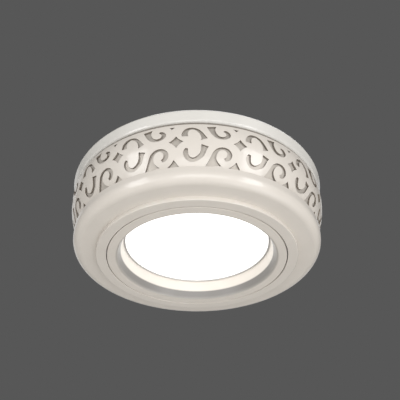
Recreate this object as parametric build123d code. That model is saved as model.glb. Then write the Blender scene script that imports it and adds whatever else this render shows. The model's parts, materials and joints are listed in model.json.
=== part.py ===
from build123d import *
import math
import os

# Decorative recessed ceiling spotlight with a pierced scrollwork band and a tilting lamp ring.
# Millimetres and degrees. Z is up, and the ceiling face of the flange lies at z = 0.
# The near side of the light, where the pattern is set out from, is -Y.

# Lamp and the tilting ring that carries it
lamp_rim_r = 25.35       # rim of a 50.7 mm reflector lamp
lamp_rim_h = 2.4
lamp_play = 0.3          # radial room for the lamp in its pocket
lip_overlap = 0.45       # how far the front lip reaches in under the lamp rim
lip_edge_h = 0.4         # height of the lip's upright edge
mouth_flare = 0.72       # the bore opens by this much towards the room
mouth_h = 3.3            # height of the flared bore
bezel_flat_w = 3.16      # flat face of the tilting ring
bezel_slope_h = 2.8      # height of the sloped lip inside the flat face
bezel_edge_r = 0.8       # rounding between flat face and slope
gimbal_wall = 4.47       # from lamp pocket to the ball-shaped outside
gimbal_gap = 0.25        # running gap around the tilting ring
groove_edge_r = 0.2      # soft edges of the groove round the tilting ring
gimbal_top_wall = 1.5    # wall at the ring's upper edge
gimbal_collar_h = 0.65   # wall above the circlip groove
pivot_h = 3.2            # tilt axis above the room face
pivot_pin_r = 1.0
pivot_pin_in = 2.8       # pin length inside the tilting ring
pivot_pin_out = 2.6      # pin length inside the trim ring
running_fit = 0.05       # radial clearance of a pin in its hole
circlip_wire_r = 0.6
circlip_bite = 0.55      # how far the circlip sits in its groove
circlip_gap_deg = 34.0
seat_fit = 0.05          # small clearance between seated pieces

# Lamp body
lens_border = 1.1        # rim left round the lens
lens_t = 1.6
lens_recess = 0.25
shell_shoulder = 1.45    # shell is this much smaller than the rim behind it
shell_h = 27.5           # from the back of the rim to the base
shell_neck_r = 11.5
shell_mid_r = 19.9
shell_mid_share = 0.42   # height of the shell's middle point
fin_count = 20
fin_t = 1.0
fin_h = 0.8
chamber_h = 5.4          # light-mixing space between lens and board
chamber_wall = 0.1       # chamber is this much narrower than the shell's middle
lens_ledge = 2.1         # ledge that the back of the lens lies against
led_board_t = 1.2
led_board_fit = 0.3
led_size = 2.8
led_t = 0.7
led_ring_count = 8
led_inset = 7.0          # from the board's edge to the ring of chips
heat_plate_t = 2.0
wire_hole_r = 5.0
neck_wall = 2.3          # wall round the bore that holds the driver board
driver_t = 1.6
driver_side_room = 0.4
driver_end_room = 4.4    # between the driver board and the heat plate
base_w = 15.5
base_d = 9.5
base_h = 7.5
base_foot_h = 2.5        # round foot of the base, on the shell's neck
base_edge_r = 2.0
lamp_pin_r = 0.75
lamp_pin_pitch = 5.33
lamp_pin_len = 7.5
lamp_pin_root = 3.0
holder_w = 17.0
holder_d = 10.0
holder_h = 13.0
holder_edge_r = 1.5
holder_gap = 0.3
contact_wall = 0.5
contact_inset = 0.2      # contacts start this far inside the holder
lead_hole_r = 1.1

# Ceiling flange, collar and clip lugs
flange_h = 4.75
flange_top_edge_r = 1.0
flange_low_edge_r = 0.9
flange_taper = 0.85      # flange is this much smaller at its lower edge
flange_lip = 0.8         # flange rim stands out past the band's top edge
opening_room = 0.95      # room round the lamp rim where it passes the flange
web_w = 3.5
web_drop = 1.2           # the floor inside the collar lies below the ceiling face
collar_wall = 1.7
collar_h = 3.0

# Tie screws and posts that hang the trim ring from the flange
post_count = 3
post_r = 2.5
tie_shank_r = 1.5
tie_hole_fit = 0.15
tie_head_r = 2.6
tie_head_h = 1.8
tie_head_fit = 0.2
tie_head_drop = 0.3      # head lies this far below the ceiling face
tie_collar_room = 0.6    # wall between collar and screw head
tie_thread_depth = 3.0
tie_end_room = 0.3
drive_slot_w = 0.7
drive_slot_depth = 0.8
head_crown = 0.7         # flat top of a screw head, as a share of the head
fillet_share = 0.45      # a rounded edge takes at most this share of its wall

# Backing sleeve, scrollwork band and trim ring
sleeve_room = 0.77       # between posts and sleeve
sleeve_wall = 0.85
sleeve_bead_h = 0.4      # bead on the sleeve that keeps the band down
sleeve_bead_out = 0.4
sleeve_bead_gap = 0.15   # between band and bead
band_back_gap = 0.15     # space between sleeve and band
band_wall = 0.5
band_h = 15.15
band_flare = 3.45        # the band's radius grows by this much from foot to top
band_belly = 1.5         # how far its middle stands out from a straight cone
shadow_gap = 1.2         # open line between flange and band
register_h = 0.6         # trim ring's raised middle, which centres the sleeve
register_fit = 0.15
trim_overhang = 1.81     # trim ring stands out past the band's foot
trim_side_h = 4.63
trim_corner_r = 3.0
trim_corner_share = 0.65 # the corner takes at most this share of the side
trim_face_drop = 0.22    # fall of the broad lower face towards the step
tier_h = 1.35
tier_w = 3.3
tier_edge_r = 0.3

# Scrollwork: one motif is drawn motif_w wide and motif_h high and repeated round the band
motif_count = 14
motif_first_deg = -8.25  # first lozenge, from the near side, counted towards +X
motif_w = 19.3
motif_h = 14.7
band_rim_top = 1.05
band_rim_foot = 0.95

# Keepers over the tilt pins
keeper_len = 4.0
keeper_w = 11.0
keeper_t = 1.0
keeper_room = 0.5
keeper_pin_gap = 0.15
keeper_end_w = 1.8       # from a keeper's screw to its end
keeper_shank_r = 0.9
keeper_head_r = 1.6
keeper_head_h = 1.1
keeper_thread_depth = 3.0

# Sprung ceiling clips
lug_t = 1.4
lug_wall = 0.8           # round the pin
lug_edge_room = 0.1      # lugs stay this far inside the collar's outside
clip_pin_r = 1.25
clip_pin_head_over = 0.45
clip_pin_head_h = 0.5
clip_w = 9.6
clip_t = 1.0
clip_side_gap = 0.6      # between clip and lug
clip_ear_t = 0.8
clip_ear_wall = 0.75     # round the pin
clip_ear_foot = 2.25     # how far the ears run out along the arm
clip_stop_gap = 0.3      # arm lies this far above the collar
clip_step_out = 2.6      # joggle starts this far outside the collar
clip_step_len = 1.4
clip_step_h = 1.0
clip_tip_back = 2.8      # arm's tip lies inside the flange rim by this much
clip_tip_r = 2.5
pad_back_room = 0.3      # between the arm's step and the pad
pad_t = 0.8
pad_edge_r = 0.6
coil_pin_room = 0.6      # between pin and coil
coil_arm_room = 0.2      # between coil and the arm's end
spring_wire_r = 0.35
spring_pitch = 1.2
spring_turns = 4         # whole turns, to which the legs add a part turn
spring_leg_land = 1.85   # where the moving leg lies on the arm, from the arm's end
spring_foot_room = 0.75  # from the lamp opening to the fixed leg's foot
spring_touch = 0.1       # gap between a leg's end and what it bears on
gap_steps = 12           # points on each edge where the spring's gap to itself is measured

# Radii, worked outwards from the lamp
pocket_r = lamp_rim_r + lamp_play
lip_r = lamp_rim_r - lip_overlap
mouth_r = lip_r + mouth_flare
gimbal_r = pocket_r + gimbal_wall
trim_bore_r = gimbal_r + gimbal_gap
tier_r = trim_bore_r + tier_w
opening_r = lamp_rim_r + opening_room
collar_in_r = opening_r + web_w
collar_r = collar_in_r + collar_wall
post_circle_r = collar_r + tie_collar_room + tie_head_fit + tie_head_r
sleeve_in_r = post_circle_r + post_r + sleeve_room
sleeve_r = sleeve_in_r + sleeve_wall
band_foot_in_r = sleeve_r + band_back_gap
band_foot_r = band_foot_in_r + band_wall
trim_r = band_foot_r + trim_overhang
band_top_r = band_foot_r + band_flare
flange_r = band_top_r + flange_lip
flange_low_r = flange_r - flange_taper

# Heights, worked down from the ceiling face
web_z = -web_drop
flange_z = -flange_h
band_top_z = flange_z - shadow_gap
band_foot_z = band_top_z - band_h
trim_top_z = band_foot_z + register_h
broad_z = band_foot_z - trim_side_h
foot_z = broad_z - trim_face_drop
face_z = foot_z - tier_h
pivot_z = face_z + pivot_h
mouth_z = face_z + bezel_slope_h
lip_z = mouth_z + mouth_h
seat_z = lip_z + lip_edge_h
rim_back_z = seat_z + lamp_rim_h
circlip_z = rim_back_z + seat_fit + circlip_wire_r
gimbal_top_z = circlip_z + circlip_wire_r + seat_fit + gimbal_collar_h
base_z = rim_back_z + shell_h
holder_z = base_z + base_h + holder_gap

# Seats inside the lamp and its holder
circlip_mid_r = pocket_r + circlip_bite - circlip_wire_r
lens_r = lamp_rim_r - lens_border
lens_z = seat_z + lens_recess
chamber_z = lens_z + lens_t
chamber_r = shell_mid_r - chamber_wall
board_z = chamber_z + chamber_h
plate_z = board_z + led_board_t
led_board_r = chamber_r - led_board_fit
led_ring_r = led_board_r - led_inset
shell_back_r = lamp_rim_r - shell_shoulder
driver_r = shell_neck_r - neck_wall
driver_foot_z = plate_z + heat_plate_t
pin_places = (-lamp_pin_pitch / 2, lamp_pin_pitch / 2)
contact_in_r = lamp_pin_r + seat_fit
contact_r = contact_in_r + contact_wall
contact_z = holder_z + contact_inset
contact_top_z = base_z + base_h + lamp_pin_len + seat_fit

# Places round the ring: left is -X and right is +X, where the tilt pins and the clips are
side_angles = (180, 0)
post_angles = [(i + 0.25) * 360 / post_count for i in range(post_count)]
pin_slot_end_r = gimbal_r + pivot_pin_out + gimbal_gap
keeper_x = trim_bore_r + keeper_room
keeper_screw_x = keeper_x + keeper_len / 2
keeper_screw_y = keeper_w / 2 - keeper_end_w
keeper_screw_places = [(keeper_screw_x, -keeper_screw_y), (keeper_screw_x, keeper_screw_y)]

# Clip pivots, shared by the flange's lugs, the clips and the springs
spring_r = clip_pin_r + coil_pin_room + spring_wire_r
coil_r = spring_r + spring_wire_r
lug_r = clip_pin_r + lug_wall
clip_half = clip_w / 2
lug_in_y = clip_half + clip_side_gap
lug_out_y = lug_in_y + lug_t
clip_pin_x = math.sqrt((collar_r - lug_edge_room) ** 2 - lug_out_y**2) - lug_r
clip_pin_z = collar_h + coil_r
arm_z = collar_h + clip_stop_gap
arm_root_x = clip_pin_x + coil_r + coil_arm_room
arm_step_x = collar_r + clip_step_out
arm_flat_x = arm_step_x + clip_step_len
arm_tip_x = flange_r - clip_tip_back
arm_top_z = arm_z + clip_step_h
clip_pin_rise = clip_pin_z - arm_z - clip_t
spring_leg_reach = arm_root_x + spring_leg_land - clip_pin_x
spring_foot_back = clip_pin_x - opening_r - spring_foot_room

# One motif of the scrollwork
motif_pitch_deg = 360 / motif_count
band_mid_r = band_foot_r + band_flare / 2 + band_belly
scale_x = math.radians(motif_pitch_deg) * band_mid_r / motif_w
scale_y = (band_h - band_rim_top - band_rim_foot) / motif_h


def section(*lines):
    """Face inside lines drawn as (radius, height)."""
    return make_face([edge for line in lines for edge in line.edges()])


def softened(face, *corners):
    """Face with some corners rounded, each given as (point, radius)."""
    for point, radius in corners:
        face = fillet(face.vertices().sort_by_distance(point)[0], radius)
    return face


def turned(face):
    """Solid of revolution about Z from a face drawn as (radius, height)."""
    return revolve(Plane.XZ * face, Axis.Z)


def tube(outer_r, inner_r, z0, z1):
    """Plain ring between two heights."""
    return turned(section(Polyline((inner_r, z0), (outer_r, z0), (outer_r, z1), (inner_r, z1), close=True)))


def rod(radius, z0, z1, x=0.0, y=0.0):
    """Upright cylinder."""
    return Pos(x, y, (z0 + z1) / 2) * Cylinder(radius, z1 - z0)


def block(x0, x1, y0, y1, z0, z1):
    """Box between two corners."""
    return Pos((x0 + x1) / 2, (y0 + y1) / 2, (z0 + z1) / 2) * Box(x1 - x0, y1 - y0, z1 - z0)


def across(sketch, y0, y1):
    """Extrude an (x, z) sketch from y0 to y1."""
    return extrude(Plane.XZ.offset(-y1) * sketch, y1 - y0)


def cross_pin(radius, y0, y1, x, z):
    """Cylinder along Y."""
    return across(Pos(x, z) * Circle(radius), y0, y1)


def radial_pin(radius, x0, x1, z):
    """Cylinder along X at height z."""
    return extrude(Plane.YZ.offset(x0) * Pos(0, z) * Circle(radius), x1 - x0)


def round_about(shape, angles):
    """Copies of a shape turned about Z."""
    return [Rot(0, 0, angle) * shape for angle in angles]


def pan_screw(head_r, head_h, shank_r, seat, end):
    """Pan-head screw standing upright, its head sitting at height seat, with a crossed drive slot."""
    top = seat + head_h
    crown_r = head_r * head_crown
    outline = Polyline(
        (0, end),
        (shank_r, end),
        (shank_r, seat),
        (head_r, seat),
        (head_r, seat + head_h / 2),
        (crown_r, top),
        (0, top),
        close=True,
    )
    screw = turned(section(outline))
    slot = block(-crown_r, crown_r, -drive_slot_w / 2, drive_slot_w / 2, top - drive_slot_depth, top)
    return screw - (slot + Rot(0, 0, 90) * slot)


def on_ball(z):
    """Radius of the tilting ring's ball-shaped outside at a height."""
    return math.sqrt(gimbal_r**2 - (z - pivot_z) ** 2)


def in_seat(z):
    """Radius of the trim ring's seat round that ball at a height."""
    return math.sqrt(trim_bore_r**2 - (z - pivot_z) ** 2)


def ceiling_flange():
    """Flange, spigot collar and floor in one casting, with two pairs of lugs for the clips."""
    outline = Polyline(
        (opening_r, flange_z),
        (flange_low_r, flange_z),
        (flange_r, 0),
        (collar_r, 0),
        (collar_r, collar_h),
        (collar_in_r, collar_h),
        (collar_in_r, web_z),
        (opening_r, web_z),
        close=True,
    )
    widest_edge = flange_h * fillet_share
    profile = softened(
        section(outline),
        ((flange_low_r, flange_z), min(flange_low_edge_r, widest_edge)),
        ((flange_r, 0), min(flange_top_edge_r, widest_edge)),
    )
    body = turned(profile)
    upright = Pos(clip_pin_x, (web_z + clip_pin_z) / 2) * Rectangle(2 * lug_r, clip_pin_z - web_z)
    lug = upright + Pos(clip_pin_x, clip_pin_z) * Circle(lug_r)
    lugs = across(lug, lug_in_y, lug_out_y) + across(lug, -lug_out_y, -lug_in_y)
    lugs = lugs - cross_pin(clip_pin_r + running_fit, -lug_out_y, lug_out_y, clip_pin_x, clip_pin_z)
    body = body + round_about(lugs, side_angles)
    recess = rod(tie_head_r + tie_head_fit, -tie_head_drop - tie_head_h, 0, post_circle_r)
    passage = rod(tie_shank_r + tie_hole_fit, flange_z, 0, post_circle_r)
    return body - round_about(recess + passage, post_angles)


def spacer_posts():
    """Tubular posts between flange and trim ring."""
    post = rod(post_r, trim_top_z, flange_z, post_circle_r)
    post = post - rod(tie_shank_r + tie_hole_fit, trim_top_z, flange_z, post_circle_r)
    return Compound(round_about(post, post_angles))


def tie_screws():
    """Long screws from the flange through the posts into the trim ring."""
    seat = -tie_head_drop - tie_head_h
    end = trim_top_z - tie_thread_depth + tie_end_room
    screw = Pos(post_circle_r, 0, 0) * pan_screw(tie_head_r, tie_head_h, tie_shank_r, seat, end)
    return Compound(round_about(screw, post_angles))


def barrel_line(foot_r):
    """Upright line of the band and its sleeve, from foot_r at the foot, flared and bellied."""
    return ThreePointArc(
        (foot_r, band_foot_z),
        (foot_r + band_flare / 2 + band_belly, (band_foot_z + band_top_z) / 2),
        (foot_r + band_flare, band_top_z),
    )


def backing_sleeve():
    """Plain sleeve close behind the scrollwork, with a bead above it that keeps the band down."""
    outer = barrel_line(sleeve_r)
    inner = barrel_line(sleeve_in_r)
    top_r = sleeve_r + band_flare
    bead_r = top_r + sleeve_bead_out
    bead_z = band_top_z + sleeve_bead_gap
    upper = Polyline(
        outer @ 1,
        (top_r, bead_z),
        (bead_r, bead_z),
        (bead_r, bead_z + sleeve_bead_h),
        (top_r, bead_z + sleeve_bead_h),
        (top_r, flange_z),
        (sleeve_in_r + band_flare, flange_z),
        inner @ 1,
    )
    return turned(section(outer, upper, inner, Line(inner @ 0, outer @ 0)))


def trim_ring():
    """Lower ring with a rounded corner, a broad face, a raised tier and a ball seat for the tilting ring."""
    register_r = sleeve_in_r - register_fit
    seat = ThreePointArc(
        (in_seat(face_z), face_z),
        (in_seat((face_z + pivot_z) / 2), (face_z + pivot_z) / 2),
        (trim_bore_r, pivot_z),
    )
    outline = Polyline(
        (trim_bore_r, pivot_z),
        (trim_bore_r, trim_top_z),
        (register_r, trim_top_z),
        (register_r, band_foot_z),
        (trim_r, band_foot_z),
        (trim_r, broad_z),
        (tier_r, foot_z),
        (tier_r, face_z),
        (in_seat(face_z), face_z),
    )
    profile = softened(
        section(seat, outline),
        ((trim_r, broad_z), min(trim_corner_r, trim_side_h * trim_corner_share)),
        ((tier_r, face_z), min(tier_edge_r, tier_h * fillet_share)),
        ((in_seat(face_z), face_z), groove_edge_r),
    )
    body = turned(profile)
    thread = rod(tie_shank_r + running_fit, trim_top_z - tie_thread_depth, trim_top_z, post_circle_r)
    body = body - round_about(thread, post_angles)
    slot_r = pivot_pin_r + running_fit
    saddle = radial_pin(slot_r, 0, pin_slot_end_r, pivot_z)
    saddle = saddle + block(0, pin_slot_end_r, -slot_r, slot_r, pivot_z, trim_top_z)
    saddle = saddle - rod(gimbal_r, pivot_z - slot_r, trim_top_z)
    body = body - round_about(saddle, side_angles)
    for place in keeper_screw_places:
        hole = rod(keeper_shank_r + running_fit, trim_top_z - keeper_thread_depth, trim_top_z, *place)
        body = body - round_about(hole, side_angles)
    return body


def pivot_keepers():
    """Plates that close the trim ring's slots over the tilt pins."""
    plate = block(
        keeper_x, keeper_x + keeper_len, -keeper_w / 2, keeper_w / 2, trim_top_z, trim_top_z + keeper_t
    )
    tongue_y = pivot_pin_r
    tongue_end = gimbal_r + pivot_pin_out
    tongue_z = pivot_z + pivot_pin_r + keeper_pin_gap
    keeper = plate + block(keeper_x, tongue_end, -tongue_y, tongue_y, tongue_z, trim_top_z)
    for place in keeper_screw_places:
        keeper = keeper - rod(keeper_shank_r + running_fit, trim_top_z, trim_top_z + keeper_t, *place)
    return Compound(round_about(keeper, side_angles))


def keeper_screws():
    """Four small screws that hold the keepers."""
    end = trim_top_z - keeper_thread_depth + tie_end_room
    screw = pan_screw(keeper_head_r, keeper_head_h, keeper_shank_r, trim_top_z + keeper_t, end)
    screws = []
    for place in keeper_screw_places:
        screws += round_about(Pos(*place) * screw, side_angles)
    return Compound(screws)


# Scrollwork motif. X runs round the band from the middle of a lozenge and Y up from the lower rim.
# Each curling opening is a ribbon: (x, y, width) at the stations of its middle line.
arch_gap = [
    (2.60, 10.30, 1.9),
    (2.65, 11.80, 1.7),
    (3.30, 13.00, 1.3),
    (4.75, 13.65, 0.75),
    (6.50, 12.80, 0.95),
    (7.75, 11.00, 1.15),
    (8.40, 9.10, 2.1),
]
cup_gap = [
    (8.60, 6.75, 2.3),
    (8.20, 5.35, 1.7),
    (7.65, 3.70, 1.45),
    (6.35, 2.45, 1.25),
    (4.80, 1.95, 1.2),
    (3.35, 2.80, 1.35),
    (2.85, 4.20, 1.5),
    (3.15, 5.75, 0.7),
]
upper_scroll = [
    (10.55, 14.65, 2.9),
    (10.75, 12.80, 1.8),
    (11.45, 11.25, 1.4),
    (12.45, 10.25, 1.1),
    (13.75, 9.95, 0.95),
    (15.05, 10.45, 1.1),
    (15.65, 11.50, 1.35),
    (15.20, 12.55, 1.1),
    (14.20, 13.00, 0.6),
]
lower_scroll = [
    (11.30, 0.10, 4.9),
    (11.15, 1.50, 2.8),
    (11.25, 2.95, 1.6),
    (11.75, 4.45, 1.25),
    (12.75, 5.60, 0.95),
    (14.15, 6.00, 0.85),
    (15.55, 5.30, 1.2),
    (16.05, 4.00, 1.5),
    (15.50, 2.80, 1.25),
    (14.55, 2.40, 0.7),
]
lozenge = (2.2, 2.22)         # half width and half height, about (0, lozenge_y)
lozenge_y = 8.32
lozenge_hollow = 0.86         # its sides bow in to this share of a straight side
rim_notch = [(17.0, 14.65), (17.9, 13.6), (18.95, 14.65)]
foot_notch = [(16.15, 0.05), (18.35, 2.2), (19.75, 0.05)]
notch_bow = 0.25              # how far a notch's first side, beside the scroll, bows in


def drawn(point):
    """Motif point at the band's own size."""
    return Vector(point[0] * scale_x, point[1] * scale_y)


def ribbon(stations):
    """Face of a curling opening, as wide at each station of its middle line as is stated there."""
    middle = [drawn(station) for station in stations]
    last = len(stations) - 1
    left = []
    right = []
    for i, station in enumerate(stations):
        ahead = (middle[min(i + 1, last)] - middle[max(i - 1, 0)]).normalized()
        aside = Vector(-ahead.Y, ahead.X) * (station[2] / 2 * scale_x)
        left.append(middle[i] + aside)
        right.append(middle[i] - aside)
    return [Spline(*left), Line(left[-1], right[-1]), Spline(*right), Line(right[0], left[0])]


def lozenge_lines():
    """Four-pointed opening with hollow sides."""
    half_w, half_h = lozenge
    tips = [(half_w, 0), (0, half_h), (-half_w, 0), (0, -half_h)]
    lines = []
    for a, b in zip(tips, tips[1:] + tips[:1]):
        bow = [(a[i] + b[i]) / 2 * lozenge_hollow for i in range(2)]
        points = [drawn((p[0], p[1] + lozenge_y)) for p in (a, bow, b)]
        lines.append(ThreePointArc(*points))
    return lines


def notch_lines(corners):
    """Three-cornered opening between a scroll and a rim, its first side bowed in round the scroll."""
    a, b, c = [Vector(*corner) for corner in corners]
    middle = (a + b) / 2
    bow = middle + (c - middle).normalized() * notch_bow
    points = [drawn((p.X, p.Y)) for p in (a, bow, b, c)]
    return [ThreePointArc(*points[:3]), Line(points[2], points[3]), Line(points[3], points[0])]


def piercing(lines, turn_deg):
    """Cutter through the band's wall for one opening drawn in motif coordinates."""
    face = make_face([edge for line in lines for edge in line.edges()])
    centre = face.center(CenterOf.BOUNDING_BOX)
    angle = motif_first_deg - 90 + turn_deg + math.degrees(centre.X / band_mid_r)
    outward = Vector(math.cos(math.radians(angle)), math.sin(math.radians(angle)))
    start_r = band_foot_in_r - band_wall
    plane = Plane(
        origin=outward * start_r + Vector(0, 0, band_foot_z + band_rim_foot),
        x_dir=(-outward.Y, outward.X, 0),
        z_dir=(outward.X, outward.Y, 0),
    )
    return extrude(plane * Pos(-centre.X, 0) * face, band_top_r + band_wall - start_r)


def fretwork_band():
    """Pierced barrel-shaped band, standing on the trim ring."""
    outer = barrel_line(band_foot_r)
    inner = barrel_line(band_foot_in_r)
    wall = turned(section(outer, Line(outer @ 1, inner @ 1), inner, Line(inner @ 0, outer @ 0)))
    openings = [
        ribbon(arch_gap),
        ribbon(cup_gap),
        ribbon(upper_scroll),
        ribbon(lower_scroll),
        lozenge_lines(),
        notch_lines(rim_notch),
        notch_lines(foot_notch),
    ]
    cutters = [
        piercing(lines, i * motif_pitch_deg) for i in range(motif_count) for lines in openings
    ]
    return wall - cutters


def gimbal_ring():
    """Tilting ring: ball-shaped outside, sloped mouth, front lip, lamp pocket and circlip groove."""
    shoulder_z = pivot_z + (gimbal_top_z - pivot_z) / 2
    groove_r = circlip_mid_r + circlip_wire_r + running_fit
    outside = ThreePointArc(
        (on_ball(face_z), face_z), (gimbal_r, pivot_z), (on_ball(shoulder_z), shoulder_z)
    )
    flat_r = on_ball(face_z) - bezel_flat_w
    outline = Polyline(
        (on_ball(shoulder_z), shoulder_z),
        (groove_r + gimbal_top_wall, gimbal_top_z),
        (pocket_r, gimbal_top_z),
        (pocket_r, seat_z),
        (lip_r, seat_z),
        (lip_r, lip_z),
        (mouth_r, mouth_z),
        (flat_r, face_z),
        (on_ball(face_z), face_z),
    )
    profile = softened(
        section(outside, outline),
        ((on_ball(face_z), face_z), groove_edge_r),
        ((flat_r, face_z), min(bezel_edge_r, bezel_slope_h * fillet_share)),
    )
    body = turned(profile)
    groove = tube(
        groove_r, lip_r, circlip_z - circlip_wire_r - running_fit, circlip_z + circlip_wire_r + running_fit
    )
    pin_hole = radial_pin(pivot_pin_r + running_fit / 2, gimbal_r - pivot_pin_in, gimbal_r, pivot_z)
    return body - groove - round_about(pin_hole, side_angles)


def pivot_pins():
    """Two pins on the tilt axis, fixed in the tilting ring."""
    pin = radial_pin(pivot_pin_r, gimbal_r - pivot_pin_in, gimbal_r + pivot_pin_out, pivot_z)
    return Compound(round_about(pin, side_angles))


def lamp_circlip():
    """Open wire ring behind the lamp's rim."""
    start = -90 + circlip_gap_deg / 2
    path = Pos(0, 0, circlip_z) * CenterArc((0, 0), circlip_mid_r, start, 360 - circlip_gap_deg)
    return sweep(Plane(path @ 0, z_dir=path % 0) * Circle(circlip_wire_r), path)


def shell_curve(grow):
    """Side of the lamp's shell, moved out by grow."""
    middle_z = rim_back_z + shell_mid_share * shell_h
    return ThreePointArc(
        (shell_back_r + grow, rim_back_z), (shell_mid_r + grow, middle_z), (shell_neck_r + grow, base_z)
    )


def lamp_shell():
    """Finned metal shell of the lamp, bored for lens, board and driver."""
    side = shell_curve(0)
    front = Polyline((0, seat_z), (lamp_rim_r, seat_z), (lamp_rim_r, rim_back_z), (shell_back_r, rim_back_z))
    back = Polyline((shell_neck_r, base_z), (0, base_z), (0, seat_z))
    body = turned(section(front, side, back))
    fin_side = shell_curve(fin_h)
    fin_back = Polyline(fin_side @ 1, (driver_r, base_z), (driver_r, rim_back_z), fin_side @ 0)
    fin = across(make_face([fin_side, *fin_back.edges()]), -fin_t / 2, fin_t / 2)
    fin = fin - rod(driver_r, rim_back_z, base_z)
    fin = fin - tube(lamp_rim_r, circlip_mid_r - circlip_wire_r - seat_fit, rim_back_z, gimbal_top_z)
    body = body + round_about(fin, [i * 360 / fin_count for i in range(fin_count)])
    bore = Polyline(
        (0, seat_z),
        (lens_r + seat_fit, seat_z),
        (lens_r + seat_fit, chamber_z),
        (lens_r - lens_ledge, chamber_z),
        (chamber_r, board_z),
        (chamber_r, plate_z),
        (wire_hole_r, plate_z),
        (wire_hole_r, driver_foot_z),
        (driver_r, driver_foot_z),
        (driver_r, base_z),
        (0, base_z),
        close=True,
    )
    return body - turned(section(bore))


def lamp_lens():
    """Frosted front lens."""
    return rod(lens_r, lens_z, chamber_z)


def led_board():
    """Round board that carries the light-emitting chips."""
    return rod(led_board_r, board_z, plate_z) - rod(lead_hole_r, board_z, plate_z)


def led_emitters():
    """A ring of square chips under the board."""
    chip = Pos(led_ring_r, 0, board_z - led_t / 2) * Box(led_size, led_size, led_t)
    return Compound(round_about(chip, [i * 360 / led_ring_count for i in range(led_ring_count)]))


def driver_board():
    """Upright driver board in the shell's neck."""
    half_w = driver_r - driver_side_room
    return block(-half_w, half_w, -driver_t / 2, driver_t / 2, driver_foot_z + driver_end_room, base_z)


def rounded_block(width, depth, edge_r, z0, z1):
    """Upright block with rounded corners."""
    return extrude(Pos(0, 0, z0) * RectangleRounded(width, depth, edge_r), z1 - z0)


def lamp_base():
    """Moulded base that closes the shell's neck and holds the two pins."""
    top = base_z + base_h
    body = rod(shell_neck_r, base_z, base_z + base_foot_h)
    body = body + rounded_block(base_w, base_d, base_edge_r, base_z, top)
    hole = rod(lamp_pin_r + seat_fit, top - lamp_pin_root, top)
    return body - [Pos(x, 0, 0) * hole for x in pin_places]


def lamp_pins():
    """The lamp's two contact pins."""
    top = base_z + base_h
    pin = rod(lamp_pin_r, top - lamp_pin_root, top + lamp_pin_len)
    return Compound([Pos(x, 0, 0) * pin for x in pin_places])


def lampholder():
    """Ceramic holder pushed on to the lamp's pins, with two lead exits on top."""
    body = rounded_block(holder_w, holder_d, holder_edge_r, holder_z, holder_z + holder_h)
    well = rod(contact_r + seat_fit, holder_z, contact_top_z)
    lead = rod(lead_hole_r, holder_z, holder_z + holder_h)
    return body - [Pos(x, 0, 0) * (well + lead) for x in pin_places]


def lampholder_contacts():
    """Brass sleeves that grip the lamp's pins."""
    sleeve = rod(contact_r, contact_z, contact_top_z) - rod(contact_in_r, contact_z, contact_top_z)
    return Compound([Pos(x, 0, 0) * sleeve for x in pin_places])


def clip_arm():
    """Pressed arm of the right-hand clip, stepped up past the collar, with two ears for the pin."""
    strip = make_face(
        Polyline(
            (arm_root_x, arm_z),
            (arm_step_x, arm_z),
            (arm_flat_x, arm_top_z),
            (arm_tip_x, arm_top_z),
            (arm_tip_x, arm_top_z + clip_t),
            (arm_flat_x, arm_top_z + clip_t),
            (arm_step_x, arm_z + clip_t),
            (arm_root_x, arm_z + clip_t),
            close=True,
        )
    )
    arm = across(strip, -clip_half, clip_half)
    tip_corners = arm.edges().filter_by(Axis.Z).group_by(Axis.X)[-1]
    arm = fillet(tip_corners, clip_tip_r)
    foot = Pos(arm_root_x + clip_ear_foot / 2, arm_z + clip_t / 2) * Rectangle(clip_ear_foot, clip_t)
    knuckle = Pos(clip_pin_x, clip_pin_z) * Circle(clip_pin_r + clip_ear_wall)
    ear = make_hull(foot.edges() + knuckle.edges())
    ears = across(ear, clip_half - clip_ear_t, clip_half) + across(ear, -clip_half, clip_ear_t - clip_half)
    return arm + ears - cross_pin(clip_pin_r + running_fit, -clip_half, clip_half, clip_pin_x, clip_pin_z)


def around_tip(grow):
    """Round-cornered block that stands out from the arm's flat tip by grow on all sides but the back."""
    back = arm_flat_x + pad_back_room
    wide = clip_half + grow
    tip = block(back, arm_tip_x + grow, -wide, wide, arm_top_z - grow, arm_top_z + clip_t + grow)
    return fillet(tip.edges().filter_by(Axis.Z).group_by(Axis.X)[-1], clip_tip_r + grow)


def clip_pad():
    """Soft sleeve on the tip of the arm."""
    pad = around_tip(pad_t)
    pad = fillet(pad.faces().filter_by(Axis.Z).edges().filter_by(Axis.X), pad_edge_r)
    return pad - around_tip(seat_fit)


def clip_pin():
    """Headed pin through the lugs and the clip's ears."""
    end = lug_out_y
    head_r = clip_pin_r + clip_pin_head_over
    pin = cross_pin(clip_pin_r, -end, end, clip_pin_x, clip_pin_z)
    pin = pin + cross_pin(head_r, end, end + clip_pin_head_h, clip_pin_x, clip_pin_z)
    return pin + cross_pin(head_r, -end - clip_pin_head_h, -end, clip_pin_x, clip_pin_z)


def biarc(p0, t0, p1, t1):
    """Two arcs that join two points and keep both tangents."""
    v = p1 - p0
    t = t0 + t1
    bend = 2 * (1 - t0.dot(t1))
    reach = (math.sqrt(v.dot(t) ** 2 + bend * v.dot(v)) - v.dot(t)) / bend
    joint = (p0 + t0 * reach + p1 - t1 * reach) / 2
    middle = (p1 - t1 * reach - p0 - t0 * reach).normalized()
    return [Edge.make_tangent_arc(p0, t0, joint), Edge.make_tangent_arc(joint, middle, p1)]


def tangent_angle(dx, dz, side):
    """Angle round the coil, in radians, where a straight leg to (dx, dz) leaves it."""
    return math.atan2(dz, dx) + side * math.acos(spring_r / math.hypot(dx, dz))


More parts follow.
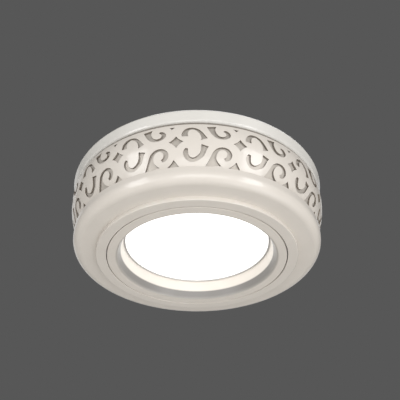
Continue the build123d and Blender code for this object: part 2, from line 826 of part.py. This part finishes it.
def spring_path():
    """Coil of the clip's torsion spring with a straight leg at each end, as edges."""
    foot = (-spring_foot_back, web_z + spring_wire_r + spring_touch - clip_pin_z)
    touch = (spring_leg_reach, spring_wire_r + spring_touch - clip_pin_rise)
    start = tangent_angle(*foot, -1) % (2 * math.pi)
    stop = tangent_angle(*touch, 1)
    sweep_angle = start - stop + 2 * math.pi * spring_turns
    length = spring_pitch * sweep_angle / (2 * math.pi)
    count = math.ceil(sweep_angle / (math.pi / 2))
    run = math.hypot(sweep_angle * spring_r, length)

    def point(share):
        angle = start - share * sweep_angle
        return Vector(
            clip_pin_x + spring_r * math.cos(angle),
            (share - 0.5) * length,
            clip_pin_z + spring_r * math.sin(angle),
        )

    def tangent(share):
        angle = start - share * sweep_angle
        along = sweep_angle * spring_r / run
        return Vector(math.sin(angle) * along, length / run, -math.cos(angle) * along)

    lean = run / (sweep_angle * spring_r)
    foot_len = math.sqrt(foot[0] ** 2 + foot[1] ** 2 - spring_r**2) * lean
    touch_len = math.sqrt(touch[0] ** 2 + touch[1] ** 2 - spring_r**2) * lean
    edges = [Edge.make_line(point(0) - tangent(0) * foot_len, point(0))]
    for i in range(count):
        a, b = i / count, (i + 1) / count
        edges += biarc(point(a), tangent(a), point(b), tangent(b))
    edges.append(Edge.make_line(point(1), point(1) + tangent(1) * touch_len))
    return edges


def least_gap(edges, radius):
    """Least clear distance between stretches of a wire that lie half a turn or more apart."""
    places = []
    run = 0.0
    for edge in edges:
        for i in range(gap_steps):
            places.append((run + edge.length * i / gap_steps, edge @ (i / gap_steps)))
        run += edge.length
    apart = math.pi * spring_r
    pairs = [(p - q).length for s, p in places for t, q in places if t - s > apart]
    return min(pairs) - 2 * radius


def clip_spring():
    """Torsion spring round the right-hand clip's pin."""
    edges = spring_path()
    print("spring: least gap to itself", round(least_gap(edges, spring_wire_r), 3), "mm")
    path = Wire(edges)
    spring = sweep(Plane(path @ 0, z_dir=path % 0) * Circle(spring_wire_r), path)
    print("spring: volume", round(spring.volume / (math.pi * spring_wire_r**2 * path.length), 4), "of wire")
    return spring


nodes = {}
for make in (
    ceiling_flange,
    spacer_posts,
    tie_screws,
    backing_sleeve,
    trim_ring,
    pivot_keepers,
    keeper_screws,
    fretwork_band,
    gimbal_ring,
    pivot_pins,
    lamp_circlip,
    lamp_lens,
    lamp_shell,
    led_board,
    led_emitters,
    driver_board,
    lamp_base,
    lamp_pins,
    lampholder,
    lampholder_contacts,
):
    nodes[make.__name__] = make()

for make in (clip_arm, clip_pad, clip_pin, clip_spring):
    right = make()
    nodes[make.__name__ + "_right"] = right
    nodes[make.__name__ + "_left"] = Rot(0, 0, 180) * right

os.makedirs("parts", exist_ok=True)
for name, shape in nodes.items():
    export_step(shape, f"parts/{name}.step")
print("flange radius", round(flange_r, 2), "room face", round(face_z, 2), "pivot", round(pivot_z, 2))
print("clip pin", round(clip_pin_x, 4), round(clip_pin_z, 3), "top", round(holder_z + holder_h, 2))
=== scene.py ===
import json
import math

import bmesh
import bpy
import numpy as np
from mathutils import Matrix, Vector


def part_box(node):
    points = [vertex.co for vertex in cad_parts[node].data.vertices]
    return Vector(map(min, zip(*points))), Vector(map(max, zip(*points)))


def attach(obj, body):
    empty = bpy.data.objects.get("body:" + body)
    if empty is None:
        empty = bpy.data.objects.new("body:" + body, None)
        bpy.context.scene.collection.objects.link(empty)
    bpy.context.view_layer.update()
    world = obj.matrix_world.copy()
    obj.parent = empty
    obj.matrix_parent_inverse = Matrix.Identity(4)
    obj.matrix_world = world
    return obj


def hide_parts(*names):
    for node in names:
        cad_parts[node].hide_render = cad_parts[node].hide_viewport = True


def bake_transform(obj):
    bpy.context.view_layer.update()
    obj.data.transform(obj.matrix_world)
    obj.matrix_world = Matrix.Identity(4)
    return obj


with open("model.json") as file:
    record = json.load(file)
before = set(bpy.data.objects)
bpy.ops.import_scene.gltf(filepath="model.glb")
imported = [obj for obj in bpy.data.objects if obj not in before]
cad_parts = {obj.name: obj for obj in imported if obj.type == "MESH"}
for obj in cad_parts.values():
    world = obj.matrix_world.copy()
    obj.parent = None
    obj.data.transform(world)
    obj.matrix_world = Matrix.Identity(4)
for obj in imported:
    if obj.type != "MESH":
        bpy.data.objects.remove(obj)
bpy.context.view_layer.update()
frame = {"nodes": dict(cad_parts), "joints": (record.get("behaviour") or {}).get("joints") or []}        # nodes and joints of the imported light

nodes = frame["nodes"]
MM = 0.001
FULL_TURN = 2 * math.pi

# Camera, set out from a point on the light's axis about halfway down the band; image sizes in pixels
MIDDLE_Z = -14.0 * MM
CAMERA_DISTANCE = 215.5 * MM
CAMERA_BELOW = math.radians(34.78)
CAMERA_LOOKS_UP = math.radians(37.39)
CAMERA_LENS = 55.74
CAMERA_SENSOR = 36.0
CAMERA_CLIP = 10.0 * MM
IMAGE_WIDTH = 400
AXIS_COLUMN = 197.0

# Room, in metres and watts
BACKDROP = (0.0953, 0.0953, 0.0953, 1.0)
ROOM_LIGHT = (1.0, 0.985, 0.96, 1.0)
ROOM_STRENGTH = 0.36
FLOOR_Z = -0.5
FLOOR_HALF = 2.5
FLOOR_TONE = (0.74, 0.73, 0.71, 1.0)
FLOOR_ROUGHNESS = 0.8
LIGHTS_AIM = (0.0, 0.0, -0.015)
SOFTBOXES = {             # place, width and height, power
    "front_box": ((0.03, -0.58, -0.22), (0.45, 0.3), 0.95),
    "left_box": ((-0.44, -0.4, -0.07), (0.18, 0.6), 1.25),
    "right_box": ((0.42, -0.42, -0.09), (0.18, 0.6), 1.5),
    "low_fill": ((0.24, -0.08, -0.36), (0.3, 0.3), 0.25),
    "top_box": ((0.1, 0.25, 0.65), (0.5, 0.5), 1.6),
    "back_box": ((-0.1, 0.75, 0.3), (1.2, 0.8), 1.3),
}

# Tones of the finishes: each finish varies between its two
WARM_WHITE = (0.77, 0.72, 0.66, 1.0), (0.75, 0.7, 0.64, 1.0)
COOL_WHITE = (0.77, 0.75, 0.71, 1.0), (0.75, 0.73, 0.69, 1.0)
SLEEVE_PAINT = (0.57, 0.525, 0.47, 1.0), (0.63, 0.585, 0.53, 1.0)
ZINC = (0.66, 0.67, 0.69, 1.0), (0.78, 0.78, 0.79, 1.0)
SPRING_STEEL = (0.5, 0.51, 0.53, 1.0), (0.66, 0.66, 0.67, 1.0)
SOFT_PLASTIC = (0.76, 0.76, 0.74, 1.0), (0.68, 0.67, 0.65, 1.0)
LENS_LIGHT = (1.0, 0.995, 0.985, 1.0), (1.0, 0.985, 0.955, 1.0)
ALUMINIUM = (0.6, 0.6, 0.61, 1.0), (0.7, 0.7, 0.7, 1.0)
WHITE_BOARD = (0.86, 0.86, 0.84, 1.0), (0.8, 0.78, 0.72, 1.0)
GREEN_BOARD = (0.05, 0.22, 0.1, 1.0), (0.1, 0.32, 0.14, 1.0)
PHOSPHOR = (0.86, 0.72, 0.22, 1.0), (0.92, 0.82, 0.36, 1.0)
OFF_WHITE = (0.8, 0.79, 0.76, 1.0), (0.74, 0.73, 0.7, 1.0)
TIN = (0.74, 0.73, 0.7, 1.0), (0.82, 0.81, 0.79, 1.0)
STEATITE = (0.82, 0.79, 0.72, 1.0), (0.76, 0.73, 0.66, 1.0)
BRASS = (0.72, 0.54, 0.24, 1.0), (0.6, 0.43, 0.18, 1.0)

# Tones of parts of a finish; the slope, cut and line tones are painted shade
SLOPE_SHADE_TONE = (0.245, 0.235, 0.225, 1.0)
CUT_SHADE_TONE = (0.25, 0.215, 0.18, 1.0)
LINE_SHADE_TONE = (0.31, 0.275, 0.24, 1.0)
LENS_TONE = (0.9, 0.9, 0.89, 1.0)
SPECK_TONE = (0.5, 0.46, 0.4, 1.0)

# Clear coats of the enamel: weight and roughness
GLOSS_COAT = (0.85, 0.14)
SATIN_COAT = (0.12, 0.25)

# Painted shade, in grey, on the mouth's slope: distances from the axis over which it begins and ends
SLOPE_SHADE_BEGINS = (25.55 * MM, 25.75 * MM)
SLOPE_SHADE_ENDS = (26.3 * MM, 27.45 * MM)

# Painted shade on the cut edges of the scrollwork: how far a face looks outward, from all shade tone to none
CUT_SHADE_FACING = (0.35, 0.7)

# Painted shade on the sleeve in the open line above the band: how far it fades below and above the band's
# top
LINE_SHADE_FADE = 0.05 * MM

# Lit lens: distances in from its edge over which the light grows warmer, and the light's strength
LENS_WARMS = (5.25 * MM, 0.25 * MM)
LENS_STRENGTH = 1.2

# Torsion springs of the clips; ends of the right-hand one's legs, across and up from its pin
WIRE_R = 0.35 * MM
COIL_R = 2.2 * MM
COIL_PITCH = 1.2 * MM
COIL_TURNS = 4
FOOT_END = (-1.555 * MM, -6.3 * MM)
LEG_END = (4.6 * MM, -0.8 * MM)
WIRE_SIDES = 14
TURN_STEPS = 28
LEG_STEPS = 6
DOME_STEPS = 4

# Soft sleeves on the clips' tips; the powers make a circle a rounded slot, across and through
PAD_WALL = 0.75 * MM
PAD_NOSE = 0.9 * MM
PAD_CORNER_R = 3.3 * MM
PAD_POWERS = (0.35, 0.7)
PAD_SIDES = 64
PAD_STEPS = 24
EDGE_STEPS = 7

# Points of a new piece this near to each other are one
MERGE_WITHIN = 0.001 * MM


class Value:
    """A shader value for Python arithmetic: each operator adds one Math node."""

    def __init__(self, finish, socket):
        self.finish = finish
        self.socket = socket

    def math(self, operation, *terms):
        """Adds the Math node of one operation on these terms."""
        return self.finish.node("ShaderNodeMath", {"operation": operation}, dict(enumerate(terms)))

    def __add__(self, other):
        return self.math("ADD", self, other)

    def __sub__(self, other):
        return self.math("SUBTRACT", self, other)

    def __rsub__(self, other):
        return self.math("SUBTRACT", other, self)

    def __mul__(self, other):
        return self.math("MULTIPLY", self, other)

    __radd__ = __add__
    __rmul__ = __mul__


class Finish:
    """A procedural material, or the world, whose nodes are made one by one."""

    def __init__(self, owner):
        owner.use_nodes = True
        self.owner = owner
        self.tree = owner.node_tree
        self.tree.nodes.clear()

    def node(self, kind, settings=None, inputs=None, out=0):
        """Adds a node: its settings first, then the values or links of its sockets. Gives one output."""
        made = self.tree.nodes.new(kind)
        for key, value in (settings or {}).items():
            setattr(made, key, value)
        for key, value in (inputs or {}).items():
            if isinstance(value, Value):
                self.tree.links.new(value.socket, made.inputs[key])
            else:
                made.inputs[key].default_value = value
        return Value(self, made.outputs[out]) if made.outputs else None

    def vector(self, operation, *terms, out="Vector"):
        """Arithmetic on places and directions."""
        return self.node("ShaderNodeVectorMath", {"operation": operation}, dict(enumerate(terms)), out)

    def place(self):
        """Object coordinates, in metres in the light's own frame."""
        return self.node("ShaderNodeTexCoord", out="Object")

    def stretched(self, scale):
        """Object coordinates with a scale of their own along each axis."""
        return self.node("ShaderNodeMapping", None, {"Vector": self.place(), "Scale": scale})

    def outward(self):
        """The level way from the light's axis: Object coordinates with no height."""
        return self.stretched((1, 1, 0))

    def from_axis(self):
        """Distance from the light's axis."""
        return self.vector("LENGTH", self.outward(), out="Value")

    def noise(self, size, detail=2.0, at=None):
        """Even noise from 0 to 1 whose features are about size metres across."""
        inputs = {"Vector": at or self.place(), "Scale": 1 / size, "Detail": detail}
        return self.node("ShaderNodeTexNoise", None, inputs)

    def blend(self, share, first, second):
        """Colour between two tones. The numbers are the Mix node's sockets for its factor and colours."""
        return self.node("ShaderNodeMix", {"data_type": "RGBA"}, {0: share, 6: first, 7: second}, out=2)

    def band(self, value, low, high):
        """0 below low, 1 above high and a smooth rise between them."""
        inputs = {"Value": value, "From Min": low, "From Max": high}
        return self.node("ShaderNodeMapRange", {"interpolation_type": "SMOOTHSTEP"}, inputs)

    def bump(self, height, depth, strength=0.5):
        """Normal of a relief that is depth metres high."""
        return self.node("ShaderNodeBump", None, {"Height": height, "Distance": depth, "Strength": strength})

    def surface(self, **inputs):
        """Links a principled shader with the named inputs to the output."""
        sockets = {key.replace("_", " ").title(): value for key, value in inputs.items()}
        shader = self.node("ShaderNodeBsdfPrincipled", None, sockets)
        self.node("ShaderNodeOutputMaterial", None, {"Surface": shader})
        return self.owner


def finish(name):
    """New material, empty until its nodes are made."""
    return Finish(bpy.data.materials.new(name))


def enamel(name, tones, coat, shaded=None):
    """Sprayed enamel on a casting: cloudy tone, fine orange peel and a clear coat, given as its weight and
    roughness. Painted shade may cover a part of it: shaded gives that part's share and tone."""
    f = finish(name)
    cloud = f.noise(9 * MM, detail=3.0)
    grain = f.noise(0.35 * MM)
    peel = f.noise(1.1 * MM, detail=1.0)
    colour = f.blend(f.band(cloud, 0.3, 0.7), *tones)
    if shaded:
        share, other = shaded(f)
        colour = f.blend(share, colour, other)
    weight, roughness = coat
    return f.surface(
        base_color=colour,
        roughness=0.34 + 0.1 * grain,
        coat_weight=weight + 0.1 * cloud,
        coat_roughness=roughness,
        normal=f.bump(peel + 0.3 * grain, 0.012 * MM),
    )


def painted_slope_shade(f):
    """Painted shade, in grey, on the mouth's slope, between the white of the lamp's bore and that of the
    face.
    """
    return f.band(f.from_axis(), *SLOPE_SHADE_BEGINS) - f.band(f.from_axis(), *SLOPE_SHADE_ENDS), SLOPE_SHADE_TONE


def painted_cut_shade(f):
    """Painted shade on the walls of the piercings and on the inside of the band: all that doesn't face
    outward. How far a face looks outward is the product of its normal and the way from the axis."""
    outward = f.vector("NORMALIZE", f.outward())
    normal = f.node("ShaderNodeTexCoord", out="Normal")
    facing = f.vector("DOT_PRODUCT", outward, normal, out="Value")
    return 1 - f.band(facing, *CUT_SHADE_FACING), CUT_SHADE_TONE


def backing_paint():
    """Satin paint with a little metal in it, on the sleeve behind the scrollwork, with painted shade above
    the band.
    """
    f = finish("backing_paint")
    cloud = f.noise(6 * MM, detail=3.0)
    grain = f.noise(0.25 * MM)
    height = f.node("ShaderNodeSeparateXYZ", None, {"Vector": f.place()}, out="Z")
    band_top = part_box("fretwork_band")[1].z
    # Painted shade: the sleeve turns dark in the open line above the band's top
    above = f.band(height, band_top - LINE_SHADE_FADE, band_top + LINE_SHADE_FADE)
    return f.surface(
        base_color=f.blend(above, f.blend(cloud, *SLEEVE_PAINT), LINE_SHADE_TONE),
        metallic=0.3,
        roughness=0.42 + 0.1 * grain,
        normal=f.bump(grain, 0.01 * MM),
    )


def plated_steel():
    """Bright zinc on steel: pale crystals and a slight blue cast."""
    f = finish("zinc_steel")
    spangle = f.noise(0.8 * MM, detail=3.0)
    scuff = f.noise(0.2 * MM, at=f.stretched((1, 1, 6)))
    return f.surface(
        base_color=f.blend(spangle, *ZINC),
        metallic=1.0,
        roughness=0.24 + 0.22 * scuff,
        normal=f.bump(spangle, 0.006 * MM),
    )


def spring_steel():
    """Rolled or drawn spring steel with fine lines along X."""
    f = finish("spring_steel")
    line = f.noise(0.12 * MM, detail=3.0, at=f.stretched((0.04, 1, 1)))
    stain = f.noise(3 * MM, detail=3.0)
    return f.surface(
        base_color=f.blend(stain, *SPRING_STEEL),
        metallic=1.0,
        roughness=0.2 + 0.2 * line,
        normal=f.bump(line, 0.004 * MM),
    )


def soft_sleeve():
    """Pale soft plastic, a little dusty."""
    f = finish("clip_rubber")
    dust = f.noise(1.5 * MM, detail=4.0)
    grain = f.noise(0.15 * MM)
    return f.surface(
        base_color=f.blend(f.band(dust, 0.35, 0.75), *SOFT_PLASTIC),
        roughness=0.5 + 0.15 * grain,
        subsurface_weight=0.15,
        subsurface_radius=(1.2 * MM, 1.1 * MM, 1.0 * MM),
        normal=f.bump(grain, 0.01 * MM, strength=0.4),
    )


def lit_lens():
    """Frosted lens with the lamp on: even white light, a shade warmer towards its rim."""
    f = finish("frosted_lens")
    frost = f.noise(0.2 * MM)
    lens_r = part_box("lamp_lens")[1].x
    near_rim = f.band(f.from_axis(), *(lens_r - inward for inward in LENS_WARMS))
    return f.surface(
        base_color=LENS_TONE,
        roughness=0.5 + 0.1 * frost,
        emission_color=f.blend(near_rim, *LENS_LIGHT),
        emission_strength=LENS_STRENGTH,
        normal=f.bump(frost, 0.01 * MM, strength=0.4),
    )


def lamp_aluminium():
    """Satin die-cast aluminium of the lamp's shell."""
    f = finish("lamp_metal")
    cast = f.noise(0.5 * MM, detail=3.0)
    cloud = f.noise(5 * MM)
    return f.surface(
        base_color=f.blend(cloud, *ALUMINIUM),
        metallic=0.9,
        roughness=0.36 + 0.16 * cast,
        normal=f.bump(cast, 0.02 * MM),
    )


def circuit_board(name, tones):
    """Solder mask with faint tracks under it."""
    f = finish(name)
    track = f.band(f.noise(1.2 * MM, detail=0.0, at=f.stretched((1, 0.3, 1))), 0.52, 0.55)
    grain = f.noise(0.2 * MM)
    return f.surface(
        base_color=f.blend(track, *tones),
        roughness=0.35 + 0.15 * grain,
        normal=f.bump(track, 0.03 * MM),
    )


def phosphor():
    """Yellow phosphor of the light-emitting chips."""
    f = finish("led_chip")
    speck = f.noise(0.15 * MM)
    return f.surface(
        base_color=f.blend(speck, *PHOSPHOR),
        roughness=0.5 + 0.2 * speck,
        normal=f.bump(speck, 0.02 * MM),
    )


def moulded_plastic():
    """Fine spark-eroded grain on an off-white moulding."""
    f = finish("base_plastic")
    grain = f.noise(0.22 * MM)
    cloud = f.noise(4 * MM)
    return f.surface(
        base_color=f.blend(cloud, *OFF_WHITE),
        roughness=0.45 + 0.15 * grain,
        normal=f.bump(grain, 0.015 * MM),
    )


def tinned_pin():
    """Tinned contact pins with fine draw lines."""
    f = finish("pin_metal")
    line = f.noise(0.1 * MM, at=f.stretched((1, 1, 0.05)))
    return f.surface(
        base_color=f.blend(line, *TIN),
        metallic=1.0,
        roughness=0.2 + 0.2 * line,
        normal=f.bump(line, 0.004 * MM),
    )


def unglazed_ceramic():
    """Steatite: off-white with fine specks and a dry surface."""
    f = finish("holder_ceramic")
    speck = f.band(f.noise(0.3 * MM), 0.62, 0.7)
    cloud = f.noise(4 * MM)
    return f.surface(
        base_color=f.blend(0.5 * speck, f.blend(cloud, *STEATITE), SPECK_TONE),
        roughness=0.6 + 0.2 * cloud,
        normal=f.bump(f.noise(0.4 * MM, detail=3.0), 0.03 * MM),
    )


def plain_brass():
    """Drawn brass of the holder's contacts."""
    f = finish("contact_brass")
    stain = f.noise(1.0 * MM, detail=3.0)
    return f.surface(
        base_color=f.blend(stain, *BRASS),
        metallic=1.0,
        roughness=0.25 + 0.2 * stain,
        normal=f.bump(stain, 0.004 * MM),
    )


def dress(material, *names):
    """Gives CAD nodes a finish."""
    for name in names:
        for slot in nodes[name].material_slots:
            slot.material = material


def add(name, data):
    """Puts an object with this data into the scene."""
    made = bpy.data.objects.new(name, data)
    bpy.context.scene.collection.objects.link(made)
    return made


def closed_piece(name, rings, material):
    """Closed surface through rings of points: an array of rings by points by xyz. Each ring joins the next,
    and the first and last ring shrink to a point or a line, so that merging their points closes the ends."""
    count, sides, _ = rings.shape
    index = np.arange(count * sides).reshape(count, sides)
    beside = np.roll(index, -1, axis=1)
    quads = np.stack([index[:-1], beside[:-1], beside[1:], index[1:]], axis=-1).reshape(-1, 4)
    mesh = bpy.data.meshes.new(name)
    mesh.from_pydata(rings.reshape(-1, 3).tolist(), [], quads.tolist())
    shape = bmesh.new()
    shape.from_mesh(mesh)
    bmesh.ops.remove_doubles(shape, verts=shape.verts, dist=MERGE_WITHIN)
    bmesh.ops.recalc_face_normals(shape, faces=shape.faces)
    shape.to_mesh(mesh)
    shape.free()
    mesh.polygons.foreach_set("use_smooth", np.ones(len(mesh.polygons), dtype=bool))
    mesh.materials.append(material)
    piece = add(name, mesh)
    return piece


def turned_half(points):
    """Points turned half round the light's axis."""
    return points * np.array([-1.0, -1.0, 1.0])


def spring_line():
    """Middle line of the right-hand torsion spring about its pin, the direction away from the coil's axis,
    and the coil's length. The coil is a helix whose angle falls evenly along it, and each leg runs straight
    off along its tangent."""
    def leaves(end, side):
        """Angle round the coil at which the straight leg to an end leaves it."""
        return math.atan2(end[1], end[0]) + side * math.acos(COIL_R / math.hypot(*end))

    def leg_length(end):
        """Length of the tangent from the coil to an end."""
        return math.sqrt(math.hypot(*end) ** 2 - COIL_R**2)

    start = leaves(FOOT_END, -1) % FULL_TURN
    sweep = start - leaves(LEG_END, 1) + FULL_TURN * COIL_TURNS
    length = COIL_PITCH * sweep / FULL_TURN
    share = np.linspace(0.0, 1.0, round(TURN_STEPS * sweep / FULL_TURN))
    angle = start - share * sweep
    outward = np.stack([np.cos(angle), np.zeros_like(angle), np.sin(angle)], axis=1)
    coil = COIL_R * outward
    coil[:, 1] = (share - 0.5) * length
    rise = np.full_like(angle, length / (sweep * COIL_R))
    along = np.stack([np.sin(angle), rise, -np.cos(angle)], axis=1)
    run = np.linspace(0.0, 1.0, LEG_STEPS + 1)[1:, None]
    foot = coil[0] - along[0] * leg_length(FOOT_END) * run[::-1]
    leg = coil[-1] + along[-1] * leg_length(LEG_END) * run
    line = np.concatenate([foot, coil, leg])
    foot_away, leg_away = (np.repeat(outward[[end]], LEG_STEPS, axis=0) for end in (0, -1))
    away = np.concatenate([foot_away, outward, leg_away])
    return line, away, length


def torsion_spring(side, pin, material):
    """Round wire carried along the spring's line: at each point a circle in the plane of the outward
    direction and the one square to it and to the line. At the wire's ends the circles shrink to a point
    as those of a half ball do."""
    line, away, length = spring_line()
    ahead = np.gradient(line, axis=0)
    ahead /= np.linalg.norm(ahead, axis=1, keepdims=True)
    aside = np.cross(ahead, away)
    aside /= np.linalg.norm(aside, axis=1, keepdims=True)
    away = np.cross(aside, ahead)
    turn = np.linspace(0.0, FULL_TURN, WIRE_SIDES, endpoint=False)[None, :, None]
    circle = np.cos(turn) * away[:, None, :] + np.sin(turn) * aside[:, None, :]
    dome = np.linspace(0.0, math.pi / 2, DOME_STEPS, endpoint=False)[:, None, None]
    first = line[0] + WIRE_R * (np.sin(dome) * circle[0] - np.cos(dome) * ahead[0])
    last = line[-1] + WIRE_R * (np.sin(dome) * circle[-1] + np.cos(dome) * ahead[-1])
    rings = np.concatenate([first, line[:, None, :] + WIRE_R * circle, last[::-1]])
    half = length / 2
    if side == "left":
        rings = turned_half(rings)
        half = -half
    spring = closed_piece(f"torsion_spring_{side}", rings + np.array(pin), material)
    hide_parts(f"clip_spring_{side}")
    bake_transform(spring)


def tip_sleeve(side, material):
    """Dipped sleeve on a clip's tip. Its section is a rounded slot, and it is carried from the bottom of the
    pocket back along the arm's faces, round the open edge and forward again outside, narrowing to a blunt
    nose. It is worked out on the right, and turned half round for the left."""
    low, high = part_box(f"clip_pad_{side}")
    back, tip = (low.x, high.x) if side == "right" else (-high.x, -low.x)
    middle_z = (low.z + high.z) / 2
    half_w = (high.y - low.y) / 2
    half_t = (high.z - low.z) / 2
    edge_r = PAD_WALL / 2

    def slots(x, end, wide, thick, corner):
        """Rings at x: their half width follows the round corners in plan, their half thickness the nose."""
        nose = np.clip((x - (end - PAD_NOSE)) / PAD_NOSE, 0.0, 1.0)
        plan = np.clip((x - (end - corner)) / corner, 0.0, 1.0)
        wide = wide - corner * (1 - np.sqrt(1 - plan**2))
        thick = thick * np.sqrt(1 - nose**2)
        turn = np.linspace(0.0, FULL_TURN, PAD_SIDES, endpoint=False)
        across, through = PAD_POWERS
        y = wide[:, None] * np.sign(np.cos(turn)) * np.abs(np.cos(turn)) ** across
        z = middle_z + thick[:, None] * np.sign(np.sin(turn)) * np.abs(np.sin(turn)) ** through
        return np.stack([np.broadcast_to(x[:, None], y.shape), y, z], axis=-1)

    share = np.sin(np.linspace(0.0, math.pi / 2, PAD_STEPS))
    open_end = back + edge_r
    pocket_end = tip - PAD_WALL
    into_pocket = pocket_end - (pocket_end - open_end) * (1 - share[::-1])
    inside = slots(into_pocket, pocket_end, half_w - PAD_WALL, half_t - PAD_WALL, PAD_CORNER_R - PAD_WALL)
    bend = np.linspace(0.0, math.pi, EDGE_STEPS)[1:-1]
    inset = edge_r * (1 + np.cos(bend))
    edge = slots(open_end - edge_r * np.sin(bend), tip, half_w - inset, half_t - inset, PAD_CORNER_R)
    outside = slots(open_end + (tip - open_end) * share, tip, half_w, half_t, PAD_CORNER_R)
    rings = np.concatenate([inside, edge, outside])
    if side == "left":
        rings = turned_half(rings)
    sleeve = closed_piece(f"tip_sleeve_{side}", rings, material)
    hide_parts(f"clip_pad_{side}")
    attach(sleeve, f"clip_{side}")


def soft_light(name, place, size, power):
    """Softbox aimed at the light, its size given as width and height."""
    data = bpy.data.lights.new(name, "AREA")
    data.shape = "RECTANGLE"
    data.size, data.size_y = size
    data.energy = power
    lamp = add(name, data)
    lamp.location = place
    lamp.rotation_euler = (Vector(LIGHTS_AIM) - Vector(place)).to_track_quat("-Z", "Y").to_euler()


def room():
    """Dark backdrop for what looks past the light, and soft even light for everything else."""
    world = Finish(bpy.data.worlds.new("studio"))
    path = "ShaderNodeLightPath"
    seen = world.node(path, out="Is Camera Ray") + world.node(path, out="Is Glossy Ray")
    seen = seen + world.node(path, out="Is Transmission Ray")
    backdrop = world.node("ShaderNodeBackground", None, {"Color": BACKDROP})
    even = world.node("ShaderNodeBackground", None, {"Color": ROOM_LIGHT, "Strength": ROOM_STRENGTH})
    mixed = world.node("ShaderNodeMixShader", None, {0: seen, 1: even, 2: backdrop})
    world.node("ShaderNodeOutputWorld", None, {"Surface": mixed})
    bpy.context.scene.world = world.owner


def pale_floor():
    """Square of plain floor, well below the light."""
    mesh = bpy.data.meshes.new("floor")
    corners = np.array([[-1, -1], [1, -1], [1, 1], [-1, 1]]) * FLOOR_HALF
    mesh.from_pydata([(x, y, FLOOR_Z) for x, y in corners], [], [(0, 1, 2, 3)])
    mesh.materials.append(finish("floor").surface(base_color=FLOOR_TONE, roughness=FLOOR_ROUGHNESS))
    floor = add("floor", mesh)


def camera():
    """Camera below and in front, looking up. A small shift puts the light's axis at its column."""
    data = bpy.data.cameras.new("camera")
    data.lens = CAMERA_LENS
    data.sensor_width = CAMERA_SENSOR
    data.clip_start = CAMERA_CLIP
    data.shift_x = (IMAGE_WIDTH / 2 - AXIS_COLUMN) / IMAGE_WIDTH
    eye = add("camera", data)
    back = Vector((0, -math.cos(CAMERA_BELOW), -math.sin(CAMERA_BELOW)))
    look = Vector((0, math.cos(CAMERA_LOOKS_UP), math.sin(CAMERA_LOOKS_UP)))
    eye.location = Vector((0, 0, MIDDLE_Z)) + back * CAMERA_DISTANCE
    eye.rotation_euler = look.to_track_quat("-Z", "Y").to_euler()
    bpy.context.scene.camera = eye


dress(enamel("flange_enamel", COOL_WHITE, GLOSS_COAT), "ceiling_flange")
# The band's enamel carries painted shade on its cut edges
dress(enamel("band_enamel_and_shade", WARM_WHITE, GLOSS_COAT, painted_cut_shade), "fretwork_band")
dress(enamel("white_enamel", WARM_WHITE, GLOSS_COAT), "trim_ring")
# The mouth's enamel carries painted shade on its slope
dress(enamel("mouth_enamel_and_shade", WARM_WHITE, SATIN_COAT, painted_slope_shade), "gimbal_ring")
dress(backing_paint(), "backing_sleeve")
zinc = plated_steel()
dress(zinc, "spacer_posts", "tie_screws", "pivot_keepers", "keeper_screws", "pivot_pins")
dress(zinc, "clip_pin_left", "clip_pin_right")
steel = spring_steel()
dress(steel, "clip_arm_left", "clip_arm_right", "lamp_circlip")
dress(lit_lens(), "lamp_lens")
dress(lamp_aluminium(), "lamp_shell")
dress(circuit_board("board_white", WHITE_BOARD), "led_board")
dress(circuit_board("board_green", GREEN_BOARD), "driver_board")
dress(phosphor(), "led_emitters")
dress(moulded_plastic(), "lamp_base")
dress(tinned_pin(), "lamp_pins")
dress(unglazed_ceramic(), "lampholder")
dress(plain_brass(), "lampholder_contacts")

pins = {joint["child"]: Vector(joint["pos_m"]) for joint in frame["joints"]}
sleeve_finish = soft_sleeve()
for side in ("left", "right"):
    torsion_spring(side, pins[f"clip_{side}"], steel)
    tip_sleeve(side, sleeve_finish)

room()
pale_floor()
for name, settings in SOFTBOXES.items():
    soft_light(name, *settings)
camera()
bpy.context.scene.view_settings.view_transform = "Standard"
